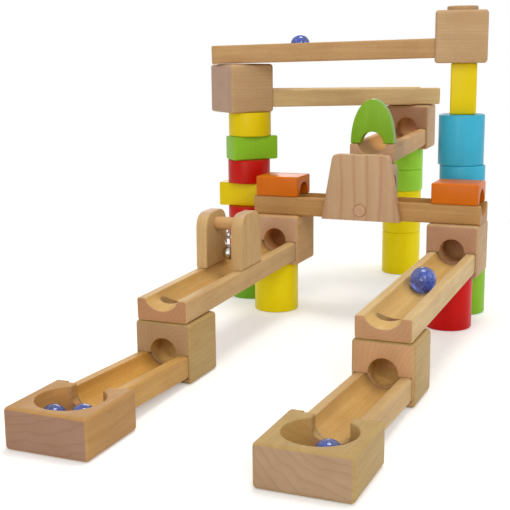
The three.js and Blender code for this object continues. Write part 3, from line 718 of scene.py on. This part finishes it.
def wood(name, light, dark, fleck, end_light, end_dark, ring_width=2.6, bend=0.05, wander=8.0):
    """Solid wood with the grain along the piece's local X. Each piece carries its own heart (where the rings
    centre), figure (strength of rings, streaks and end rings) and a tone that is partly its plank and partly
    painted light and shade; its grooves carry a warmer cut, and the walls of its holes carry painted light."""
    n = Nodes(bpy.data.materials.new(name))
    place = n.place()
    seed = n.attribute("seed")
    shifted = n.combine(seed, seed, seed)
    ring_strength, streak_strength, end_strength = n.split(n.attribute("figure", "Vector"))
    x, y, z = n.split(place)

    def stretched(along, across):
        return n.vector("ADD", n.vector("MULTIPLY", place, (along, across, across)), shifted)

    slow = stretched(0.010, 0.030)
    _, heart_y, heart_z = n.split(n.vector("SUBTRACT", place, n.attribute("heart", "Vector")))
    radius = n.vector("LENGTH", n.combine(n.math("MULTIPLY", x, bend), heart_y, heart_z))
    ring = n.math("DIVIDE", radius, n.math("MULTIPLY", n.attribute("ring_scale"), ring_width))
    rings = n.math("MULTIPLY_ADD", n.noise(slow, 1.0, 2.0), wander, ring)
    late = n.ramp(n.math("FRACT", rings), (0.0, 0.25), (0.62, 0.0), (0.9, 1.0), (1.0, 0.25))
    fibre = n.noise(stretched(0.03, 1.5), 1.0, 3.0, 0.65)
    broad = n.noise(stretched(0.010, 0.16), 1.0, 3.0, 0.55)
    blotch = n.noise(stretched(0.03, 0.05), 1.0, 2.0)
    dashes = n.noise(n.vector("MULTIPLY", place, (0.34, 2.9, 2.9)), 1.0, 1.0)
    dashes = n.ramp(dashes, (0.60, 0.0), (0.72, 1.0))
    side = n.mix(n.math("MULTIPLY", late, ring_strength), light, dark)
    side = n.mix(n.math("MULTIPLY", n.ramp(broad, (0.32, 0.0), (0.68, 1.0)), streak_strength), side, dark)
    side = n.mix(n.math("MULTIPLY", n.ramp(fibre, (0.42, 0.0), (0.72, 1.0)), 0.22), side, dark)
    side = n.mix(n.math("MULTIPLY", dashes, 0.34), side, fleck)
    pores = n.noise(n.vector("MULTIPLY", place, (0.6, 3.4, 3.4)), 1.0, 1.0)
    end = n.mix(n.math("MULTIPLY", late, end_strength), end_light, end_dark)
    end = n.mix(n.math("MULTIPLY", n.ramp(pores, (0.5, 0.0), (0.75, 1.0)), 0.3), end, end_dark)
    # the end grain's tone: partly the plank and partly painted light and shade on those faces
    end = n.mix(1.0, end, n.attribute("end_tone_and_painted_light", "Color"), "MULTIPLY")
    turn = n.add("ShaderNodeVectorTransform", vector_type="NORMAL", convert_from="WORLD", convert_to="OBJECT")
    n.link(n.add("ShaderNodeNewGeometry").outputs["Normal"], turn.inputs[0])
    across = n.math("ABSOLUTE", n.split(turn.outputs[0])[0])
    colour = n.mix(n.ramp(across, (0.72, 0.0), (0.97, 1.0)), side, end)
    colour = n.mix(n.math("MULTIPLY", n.ramp(blotch, (0.35, 0.0), (0.7, 1.0)), 0.16), colour, fleck)
    groove_tone_and_bore_light = n.mix(n.surface_value("cut"), (1, 1, 1, 1), GROOVE_WARMTH)
    # painted light: the walls of the holes and bowls are lightened where the lamps leave them in shade
    groove_tone_and_bore_light = n.mix(n.surface_value("bore"), groove_tone_and_bore_light, BORE_PAINTED_LIGHT)
    colour = n.mix(1.0, colour, groove_tone_and_bore_light, "MULTIPLY")
    # the piece's tone: partly its plank and partly painted light and shade
    colour = n.mix(1.0, colour, n.attribute("tone_and_painted_light", "Color"), "MULTIPLY")
    height = n.math("ADD", n.math("MULTIPLY", fibre, 0.6), n.math("MULTIPLY", late, 0.25))
    rough = n.math("MULTIPLY_ADD", fibre, 0.18, 0.41)
    n.principled(Base_Color=colour, Roughness=rough, Normal=n.bump(height, 0.3, 0.12),
                 Specular_IOR_Level=0.22, IOR=1.45)
    return n.owner


def paint(name, colour, deep, grain_axis=2):
    """Stained and lacquered wood: even colour, a faint grain telegraphing through a glossy coat."""
    n = Nodes(bpy.data.materials.new(name))
    place = n.place()
    seed = n.attribute("seed")
    stretch = [1.1, 1.1, 1.1]
    stretch[grain_axis] = 0.04
    grain = n.noise(n.vector("ADD", n.vector("MULTIPLY", place, tuple(stretch)), n.combine(seed, seed, seed)),
                    1.0, 3.0, 0.6)
    broad = n.noise(n.vector("MULTIPLY", place, (0.05, 0.05, 0.05)), 1.0, 2.0)
    peel = n.noise(place, 0.55, 2.0)
    base = n.mix(n.math("MULTIPLY", n.ramp(grain, (0.45, 0.0), (0.8, 1.0)), 0.30), colour, deep)
    base = n.mix(n.math("MULTIPLY", n.ramp(broad, (0.35, 0.0), (0.7, 1.0)), 0.22), base, deep)
    # the piece's tone: partly its dye and partly painted light and shade
    base = n.mix(1.0, base, n.attribute("tone_and_painted_light", "Color"), "MULTIPLY")
    height = n.math("ADD", n.math("MULTIPLY", grain, 0.5), n.math("MULTIPLY", peel, 0.6))
    rough = n.math("MULTIPLY_ADD", peel, 0.16, 0.25)
    n.principled(Base_Color=base, Roughness=rough, Normal=n.bump(height, 0.28, 0.16), Specular_IOR_Level=0.16)
    return n.owner


def glass(name, colour):
    n = Nodes(bpy.data.materials.new(name))
    place = n.place()
    speck = n.noise(place, 0.5, 3.0)
    rough = n.math("MULTIPLY_ADD", speck, 0.03, 0.005)
    n.principled(Base_Color=colour, Roughness=rough, Transmission_Weight=0.72, IOR=1.5)
    return n.owner


def swirl(name, first, second):
    n = Nodes(bpy.data.materials.new(name))
    place = n.place()
    bands = n.noise(n.vector("MULTIPLY", place, (0.9, 0.9, 0.15)), 1.0, 2.0)
    n.principled(Base_Color=n.mix(n.ramp(bands, (0.42, 0.0), (0.56, 1.0)), first, second), Roughness=0.35)
    return n.owner


def nickel(name):
    n = Nodes(bpy.data.materials.new(name))
    place = n.place()
    scratch = n.noise(n.vector("MULTIPLY", place, (3.0, 3.0, 0.6)), 1.0, 3.0)
    tarnish = n.noise(place, 0.4, 3.0)
    colour = n.mix(n.math("MULTIPLY", tarnish, 0.5), rgb(206, 204, 198), rgb(150, 146, 138))
    rough = n.math("MULTIPLY_ADD", scratch, 0.2, 0.12)
    n.principled(Base_Color=colour, Roughness=rough, Normal=n.bump(scratch, 0.2, 0.05), Metallic=1.0)
    return n.owner


BEECH = wood("beech", rgb(212, 170, 116), rgb(186, 138, 86), rgb(150, 102, 60),
             rgb(202, 162, 128), rgb(160, 118, 88), wander=4.0)
PINE = wood("pine", rgb(214, 180, 140), rgb(190, 140, 108), rgb(196, 150, 112),
            rgb(214, 178, 138), rgb(186, 138, 104), ring_width=10.0, bend=0.012, wander=1.0)
GREEN = paint("green_paint", rgb(126, 186, 48), rgb(104, 160, 30))
YELLOW = paint("yellow_paint", rgb(250, 216, 0), rgb(240, 196, 0))
RED = paint("red_paint", rgb(204, 24, 12), rgb(168, 12, 10))
BLUE = paint("blue_paint", rgb(84, 186, 222), rgb(56, 160, 198))
ORANGE = paint("orange_paint", rgb(230, 122, 14), rgb(204, 98, 4), grain_axis=0)
MARBLE_GLASS = glass("marble_glass", rgb(112, 136, 228))
MARBLE_SWIRL = swirl("marble_swirl", rgb(50, 68, 170), rgb(170, 188, 235))
NICKEL = nickel("bell_nickel")


# ---- placing pieces
def placed(x, y, z, heading=0.0, slope=0.0):
    return (Matrix.Translation((x, y, z)) @ Matrix.Rotation(heading, 4, "Z")
            @ Matrix.Rotation(slope, 4, "Y"))


seeds = iter(range(1, 1000))
SEED_STEP, SEED_SPAN = 7.31, 23.0
HEART_ASIDE, HEART_BELOW = 40.0, 34.0  # how far off a board's own axis the rings may centre

# How strongly rings, streaks and end rings show.
BLOCK_FIGURE = (0.30, 0.28, 0.22)
TRACK_FIGURE = (0.22, 0.42, 0.20)
TRAY_FIGURE = (0.30, 0.35, 0.26)
PINE_FIGURE = (0.62, 0.20, 0.40)

# Planks and dye lots differ, and light and shade fall differently on each piece, so pieces share a few tones
# that colour their material: each tone is partly the plank and dye and partly painted light and shade.
PIECE_TONE_AND_PAINTED_LIGHT = {
    (1.05, 1.25, 1.40): ("back_track", "right_track"),
    (0.95, 1.05, 1.10): ("left_track", "right_low_track", "gate_plate_left", "gate_plate_right"),
    (0.85, 0.92, 1.10): ("entry_block", "entry_collar", "corner_block", "right_upper_block", "turn_block"),
    (0.84, 0.84, 0.84): ("top_track", "tower_block", "tower_cheek"),
    (0.75, 0.85, 0.75): ("left_lower_block", "right_lower_block", "right_tray"),
    (0.78, 0.73, 0.60): ("bridge_track", "left_tray"),
    (0.95, 0.92, 0.65): ("left_low_track",),
    (0.80, 0.85, 1.00): ("corner_post_yellow_brick", "corner_post_yellow_upper", "entry_post_yellow_upright"),
    (1.00, 1.15, 1.00): ("left_post_yellow", "turn_post_yellow_lower", "turn_post_yellow_upper"),
    (0.90, 0.90, 0.40): ("corner_post_red_lower", "corner_post_red_upper"),
    (1.00, 0.35, 0.35): ("right_post_red",),
    (0.57, 0.87, 0.84): ("entry_post_blue_lower", "entry_post_blue_upper"),
    (0.80, 0.74, 0.35): ("left_tunnel", "right_tunnel"),
    (1.25, 1.10, 0.80): ("corner_post_green_brick", "entry_post_green"),
    (1.00, 0.85, 0.45): ("green_arch",),
    (1.80, 1.60, 1.90): ("turn_post_green_lower", "turn_post_green_upper"),
}
# The further tones of their end grain, partly the plank and partly painted light and shade on those faces.
END_GRAIN_TONE_AND_PAINTED_LIGHT = {
    (0.85, 0.65, 0.50): ("left_track", "right_track"),
    (0.90, 0.75, 0.60): ("right_upper_block", "turn_block"),
    (0.95, 0.85, 0.80): ("left_lower_block",),
    (1.35, 1.10, 1.05): ("right_lower_block",),
    (0.75, 0.75, 1.00): ("left_tray",),
    (0.95, 0.90, 1.00): ("right_tray",),
}
PLAIN = (1.0, 1.0, 1.0)


def tone_of(node, tones):
    return next((tone for tone, nodes in tones.items() if node in nodes), PLAIN)


def show(node, data, matrix, material, body="frame", grain=None, figure=BLOCK_FIGURE, heart=None,
         ring_scale=1.0, replaced=True, smooth=32):
    """Puts a piece in the world in place of a CAD node. grain turns the mesh's own frame so that X runs
    along the wood's fibres."""
    if grain is not None:
        data.transform(grain.inverted())
        matrix = matrix @ grain
    data.transform(Matrix.Scale(MM, 4))
    data.materials.clear()
    data.materials.append(material)
    data.shade_smooth()
    data.set_sharp_from_angle(angle=smooth * DEG)
    piece = bpy.data.objects.new(node + "_look", data)
    data.name = node + "_look"
    bpy.context.scene.collection.objects.link(piece)
    location = (Matrix.Translation(ORIGIN) @ matrix).to_translation() * MM
    rotation = matrix.to_3x3().normalized()
    piece.matrix_world = Matrix.Translation(location) @ rotation.to_4x4()
    seed = next(seeds) * SEED_STEP % SEED_SPAN
    piece["seed"] = seed
    piece["figure"] = figure
    piece["heart"] = heart or (0.0, -HEART_ASIDE * math.sin(3.1 * seed), -HEART_BELOW * math.cos(1.7 * seed))
    piece["ring_scale"] = ring_scale
    # each piece's tones are partly its plank and dye and partly painted light and shade
    piece["tone_and_painted_light"] = tone_of(node, PIECE_TONE_AND_PAINTED_LIGHT)
    piece["end_tone_and_painted_light"] = tone_of(node, END_GRAIN_TONE_AND_PAINTED_LIGHT)
    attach(piece, body)
    if replaced:
        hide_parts(node)
    return piece


ALONG_Y = Matrix.Rotation(90 * DEG, 4, "Z")
ALONG_Z = Matrix.Rotation(-90 * DEG, 4, "Y")


def heading_to(start, end):
    return math.atan2(end[1] - start[1], end[0] - start[0])


def stand_block(name, x, y, bottom, heading, skew=0.0, grain=None):
    show(name, hole_block(skew), placed(x, y, bottom, heading), BEECH, grain=grain)


def lay_track(name, start, end, reach, drop=True, depths=(GROOVE_DEPTH, GROOVE_DEPTH)):
    heading = heading_to(start, end)
    flat = math.hypot(end[0] - start[0], end[1] - start[1]) + reach
    slope = math.atan((start[2] - end[2]) / flat)
    lean = max(0.0, -TRACK_THICK * math.sin(slope))
    length = flat / math.cos(slope) - lean
    matrix = placed(*start, heading, slope) @ Matrix.Translation((lean, 0, 0))
    drops = (length - reach / math.cos(slope),) if drop else ()
    show(name, track(length, TRACK_WIDTH, drops, *depths), matrix, BEECH, figure=TRACK_FIGURE)
    return matrix, length, slope


def stand_column(prefix, x, y, pieces):
    height = 0.0
    for name, kind, material, *offset in pieces:
        dx, dy, heading = (list(offset) + [0, 0, 0])[:3]
        size = {"tall": TALL, "short": SHORT, "flat": BRICK[2], "upright": BRICK[0]}[kind]
        if kind == "flat":
            data = brick()
        elif kind == "upright":
            data = upright_brick()
        else:
            data = round_block(size)
        grain = ALONG_Z if material is BEECH else None
        show(prefix + name, data, placed(x + dx, y + dy, height, heading * DEG), material, grain=grain)
        height += size


def outlet_of(block, heading):
    run = CUBE / 2 - SEAT_DEPTH + GAP
    return (block["x"] + run * math.cos(heading), block["y"] + run * math.sin(heading),
            block["bottom"] + SEAT_HEIGHT)


def top_of(block):
    return (block["x"], block["y"], block["bottom"] + CUBE + GAP)


right_upper = dict(x=BRIDGE_SPAN / 2, y=0.0, bottom=TALL)
left_upper = dict(x=-BRIDGE_SPAN / 2, y=0.0, bottom=TALL)
right_lower = dict(x=right_upper["x"], y=-RIGHT_RUN, bottom=0.0)
left_lower = dict(x=left_upper["x"], y=-LEFT_RUN, bottom=0.0)
right_tray = (right_lower["x"], right_lower["y"] - RIGHT_TRAY_RUN)
left_tray = (left_lower["x"], left_lower["y"] - LEFT_TRAY_RUN)
tower_mouth = (TOWER_X, TURN_END_Y, TOWER_TOP + GAP)
FRONT = -math.pi / 2
entry_heading = heading_to((ENTRY["x"], ENTRY["y"]), (CORNER["x"], CORNER["y"])) + ENTRY["skew"] * DEG
entry_turn = entry_heading / DEG - 180
corner_heading = heading_to((CORNER["x"], CORNER["y"]), (TURN["x"], TURN["y"]))
turn_heading = heading_to((TURN["x"], TURN["y"]), tower_mouth)

stand_block("entry_block", ENTRY["x"], ENTRY["y"], ENTRY["bottom"], entry_heading, ENTRY["skew"] * DEG)
stand_block("corner_block", CORNER["x"], CORNER["y"], CORNER["bottom"], corner_heading)
stand_block("turn_block", TURN["x"], TURN["y"], TURN["bottom"], turn_heading)
for side, upper, lower in (("right", right_upper, right_lower), ("left", left_upper, left_lower)):
    stand_block(side + "_upper_block", upper["x"], upper["y"], upper["bottom"], FRONT)
    stand_block(side + "_lower_block", lower["x"], lower["y"], lower["bottom"], FRONT)
show("entry_collar", collar(), placed(ENTRY["x"], ENTRY["y"], ENTRY["bottom"] + CUBE), BEECH)

stand_column("entry_post_", *ENTRY_COLUMN, [
    ("green", "tall", GREEN, 3.2),
    ("natural", "tall", BEECH, 1.6),
    ("blue_lower", "tall", BLUE, 0.4),
    ("blue_upper", "tall", BLUE, -1.2),
    ("yellow_upright", "upright", YELLOW, -0.5, 0, entry_turn),
])
stand_column("corner_post_", CORNER["x"] + 7, CORNER["y"], [
    ("green", "tall", GREEN),
    ("red_lower", "tall", RED, -1.2),
    ("yellow_brick", "flat", YELLOW, -5.4),
    ("red_upper", "short", RED, -1.2),
    ("green_brick", "flat", GREEN, 1.6, 0, 46),
    ("yellow_upper", "short", YELLOW),
])
stand_column("turn_post_", TURN["x"] - 6, TURN["y"], [
    ("yellow_lower", "tall", YELLOW, -1.2),
    ("yellow_upper", "tall", YELLOW, -1.2),
    ("green_lower", "short", GREEN),
    ("green_upper", "short", GREEN),
])
stand_column("right_post_", right_upper["x"] - 3, right_upper["y"] - 13, [("red", "tall", RED)])
stand_column("left_post_", left_upper["x"] - 3.6, left_upper["y"] - 7.5, [("yellow", "tall", YELLOW)])

top_track = lay_track("top_track", outlet_of(ENTRY, entry_heading), top_of(CORNER), CUBE / 2)
lay_track("back_track", outlet_of(CORNER, corner_heading), top_of(TURN), CUBE / 2)
turn_track = lay_track("turn_track", outlet_of(TURN, turn_heading), tower_mouth, 0, drop=False)
right_track = lay_track("right_track", outlet_of(right_upper, FRONT), top_of(right_lower), CUBE / 2)
left_track = lay_track("left_track", outlet_of(left_upper, FRONT), top_of(left_lower), CUBE / 2)
for side, block, catcher, heart in (
    ("right", right_lower, right_tray, (0.0, 34.0, 62.0)),
    ("left", left_lower, left_tray, (0.0, -16.0, 95.0)),
):
    lay_track(side + "_low_track", outlet_of(block, FRONT), (*catcher, TRAY["seat"]),
              -(TRAY["side"] / 2 - SEAT_DEPTH + GAP), drop=False, depths=(LOW_GROOVE_START, LOW_GROOVE_END))
    show(side + "_tray", tray(), placed(catcher[0], catcher[1] + TRAY["side"] / 2, 0, FRONT), BEECH,
         figure=TRAY_FIGURE, heart=heart, ring_scale=2.2)

show("bridge_track", bridge(), placed(-(BRIDGE_SPAN + CUBE) / 2, 0, BRIDGE_BOTTOM), BEECH,
     figure=TRACK_FIGURE)
show("left_tunnel", tunnel(), placed(left_upper["x"], 0, BRIDGE_TOP), ORANGE)
show("right_tunnel", tunnel(), placed(right_upper["x"], 0, BRIDGE_TOP), ORANGE)
show("tower_block", tower_block(), placed(TOWER_X, 0, BRIDGE_TOP), PINE, grain=ALONG_Z, figure=PINE_FIGURE)
cheek_y = CHEEK_FRONT + CHEEK["thickness"] / 2
show("tower_cheek", tower_cheek(), placed(TOWER_X, cheek_y, BRIDGE_BOTTOM), PINE, grain=ALONG_Z,
     figure=PINE_FIGURE, heart=(0.0, 25.0, 62.0))
dowel = turned(rod(DOWEL, CHEEK_FRONT - DOWEL_PROUD, BRIDGE_WIDTH / 2 - GAP, 0.7), -90, "X")
show("tower_dowel", dowel, placed(TOWER_X, 0, PIVOT_HEIGHT), BEECH, grain=ALONG_Y)
show("tower_rocker", rocker(), placed(TOWER_X, 0, PIVOT_HEIGHT), BEECH, body="rocker", grain=ALONG_Y)

arch_run = turn_track[1] - ARCH["thickness"] / 2
arch_matrix = turn_track[0] @ Matrix.Translation((arch_run, 0, TRACK_THICK + GAP))
show("green_arch", oval_arch(), arch_matrix, GREEN)

gate_run = (left_upper["y"] - GATE["y"] - (CUBE / 2 - SEAT_DEPTH + GAP)) / math.cos(left_track[2])
gate = left_track[0] @ Matrix.Translation((gate_run, 0, TRACK_THICK + GAP))
plate_offset = (TRACK_WIDTH - GATE["thickness"]) / 2
show("gate_plate_left", shift(gate_plate(1), y=-plate_offset), gate, BEECH, grain=ALONG_Z)
show("gate_plate_right", shift(gate_plate(-1), y=plate_offset), gate, BEECH, grain=ALONG_Z)
bar_reach = TRACK_WIDTH / 2 - GATE["thickness"] + GATE_SOCKET - GAP
gate_bar = turned(rod(GATE_DOWEL, -bar_reach, bar_reach, 0.6), 90, "X")
show("gate_dowel", shift(gate_bar, z=GATE_DOWEL_HEIGHT), gate, BEECH, grain=ALONG_Y)
show("bell_eye", screw_eye(), gate, NICKEL)
show("bell_shell", bell_shell(), gate, NICKEL, body="bell")
pellet_z = BELL_CENTRE - BELL["radius"] + BELL["wall"] + GAP + BELL["pellet"] / 2
show("bell_pellet", shift(ball(BELL["pellet"], 32, 16), z=pellet_z), gate, NICKEL, body="bell_pellet")


RIBBON = dict(length=0.78, reach=0.27, twist=2.4)  # of a marble's coloured ribbons, in marbles


def ribbon(size, blade, steps=24):
    """One of the three twisted ribbons that meet near the middle of a marble."""
    rings = []
    for k in range(steps + 1):
        t = k / steps
        rise = Vector((0, 0, (t - 0.5) * size * RIBBON["length"]))
        wide = size * RIBBON["reach"] * math.sin(math.pi * min(max(t, 0.03), 0.97))
        angle = t * RIBBON["twist"] + blade * 2 * math.pi / 3
        along = Vector((math.cos(angle), math.sin(angle), 0))
        side = Vector((-along.y, along.x, 0)) * 0.35
        corners = (along * 0.2 + side, along * wide + side * 0.4, along * wide - side * 0.4,
                   along * 0.2 - side)
        rings.append([tuple(corner + rise) for corner in corners])
    return ring_surface(rings)


def marble(node, matrix, body, turn, size=MARBLE):
    here = (matrix @ Matrix.Translation((0, 0, GAP + size / 2)) @ Matrix.Rotation(turn * DEG, 4, "Z")
            @ Matrix.Rotation(35 * DEG, 4, "X"))
    show(node, ball(size, 72, 36), here, MARBLE_GLASS, body=body)
    ribbons = [ribbon(size, blade) for blade in range(3)]
    show(node + "_swirl", join(*ribbons), here, MARBLE_SWIRL, body=body, replaced=False)


groove = TRACK_THICK - GROOVE_DEPTH
marble("marble_top", top_track[0] @ Matrix.Translation((TOP_MARBLE_RUN, 0, groove)), "marble_top", 20)
marble("marble_right", right_track[0] @ Matrix.Translation((RIGHT_MARBLE_RUN, 0, groove)), "marble_right", 75,
       RIGHT_MARBLE)


def beside(side):
    """Where one of the left tray's two marbles lies, from the middle of the bowl."""
    slack = TRAY["bowl"] / 2 - MARBLE - PAIR["gap"] / 2
    reach = side * (MARBLE + PAIR["gap"]) / 2
    return tuple(slack * turn(PAIR["lean"] * DEG) + reach * turn(PAIR["heading"] * DEG)
                 for turn in (math.cos, math.sin))


for node, catcher, place, turn in (
    ("marble_tray_left_a", left_tray, beside(-1), 130),
    ("marble_tray_left_b", left_tray, beside(1), 200),
    ("marble_tray_right", right_tray, LONE_MARBLE, 290),
):
    marble(node, placed(catcher[0] + place[0], catcher[1] + place[1], TRAY["floor"]), node, turn)

# ---- floor, light and camera
def floor():
    bm = new_bmesh()
    bmesh.ops.create_grid(bm, x_segments=4, y_segments=4, size=60.0)
    data = to_mesh(bm, "floor")
    n = Nodes(bpy.data.materials.new("floor"))
    diffuse = n.add("ShaderNodeBsdfDiffuse")
    diffuse.inputs["Color"].default_value = (0.84, 0.84, 0.84, 1)
    glow = n.add("ShaderNodeEmission")
    glow.inputs["Strength"].default_value = 0.30
    white = n.add("ShaderNodeEmission")
    lit = n.add("ShaderNodeAddShader")
    n.link(diffuse.outputs[0], lit.inputs[0])
    n.link(glow.outputs[0], lit.inputs[1])
    away = n.vector("LENGTH", n.add("ShaderNodeNewGeometry").outputs["Position"])
    fade = n.add("ShaderNodeMapRange", interpolation_type="SMOOTHSTEP")
    n.link(away, fade.inputs["Value"])
    fade.inputs["From Min"].default_value = 0.30
    fade.inputs["From Max"].default_value = 0.60
    seen_floor = n.choose(fade.outputs[0], lit.outputs[0], white.outputs[0])
    n.link(n.choose(n.seen(), diffuse.outputs[0], seen_floor), n.output.inputs["Surface"])
    data.materials.append(n.owner)
    plane = bpy.data.objects.new("floor", data)
    plane.location = (0, 0, -0.0002)
    bpy.context.scene.collection.objects.link(plane)


def sky(strength):
    n = Nodes(bpy.data.worlds.new("studio"), "ShaderNodeOutputWorld")
    bpy.context.scene.world = n.owner
    light = n.add("ShaderNodeBackground")
    light.inputs["Color"].default_value = (1.0, 0.985, 0.96, 1)
    light.inputs["Strength"].default_value = strength
    white = n.add("ShaderNodeBackground")
    white.inputs["Color"].default_value = (1, 1, 1, 1)
    white.inputs["Strength"].default_value = 1.0
    n.link(n.choose(n.seen(), light.outputs[0], white.outputs[0]), n.output.inputs["Surface"])


def lamp(name, position, target, size, watts, colour=(1, 1, 1)):
    data = bpy.data.lights.new(name, "AREA")
    data.shape = "DISK"
    data.size = size
    data.energy = watts
    data.color = colour
    thing = bpy.data.objects.new(name, data)
    thing.location = position
    aim = Vector(target) - Vector(position)
    thing.rotation_euler = aim.to_track_quat("-Z", "Y").to_euler()
    bpy.context.scene.collection.objects.link(thing)


def camera():
    # The viewpoint, in the layout's millimetres; angles in radians.
    stand = Vector((231.9, -772.5, 212.0)) + ORIGIN
    yaw, pitch, roll = -0.404, 0.200, -0.011
    flat = Vector((math.sin(yaw), math.cos(yaw), 0))
    right = Vector((math.cos(yaw), -math.sin(yaw), 0))
    ahead = flat * math.cos(pitch) - Vector((0, 0, 1)) * math.sin(pitch)
    up = flat * math.sin(pitch) + Vector((0, 0, 1)) * math.cos(pitch)
    right, up = (right * math.cos(roll) + up * math.sin(roll), up * math.cos(roll) - right * math.sin(roll))
    data = bpy.data.cameras.new("camera")
    data.sensor_width = 36.0
    data.lens = 71.58
    data.clip_start = 0.01
    data.clip_end = 200.0
    thing = bpy.data.objects.new("camera", data)
    thing.matrix_world = Matrix((
        (right.x, up.x, -ahead.x, stand.x * MM),
        (right.y, up.y, -ahead.y, stand.y * MM),
        (right.z, up.z, -ahead.z, stand.z * MM),
        (0, 0, 0, 1),
    ))
    bpy.context.scene.collection.objects.link(thing)
    bpy.context.scene.camera = thing


floor()
sky(0.42)
lamp("key", (1.1, -1.5, 1.3), (0, 0, 0.1), 0.8, 11)
lamp("side", (1.7, 0.3, 0.9), (0, 0, 0.1), 0.9, 4.5)
lamp("top", (0.1, 0.2, 2.0), (0, 0, 0), 0.9, 17, (1.0, 0.97, 0.9))
lamp("fill", (-0.1, -2.3, 0.5), (0, 0, 0.1), 1.2, 13)
lamp("back", (-0.9, 2.0, 1.0), (0, 0, 0.1), 1.0, 8)
camera()
bpy.context.scene.view_settings.view_transform = "Standard"
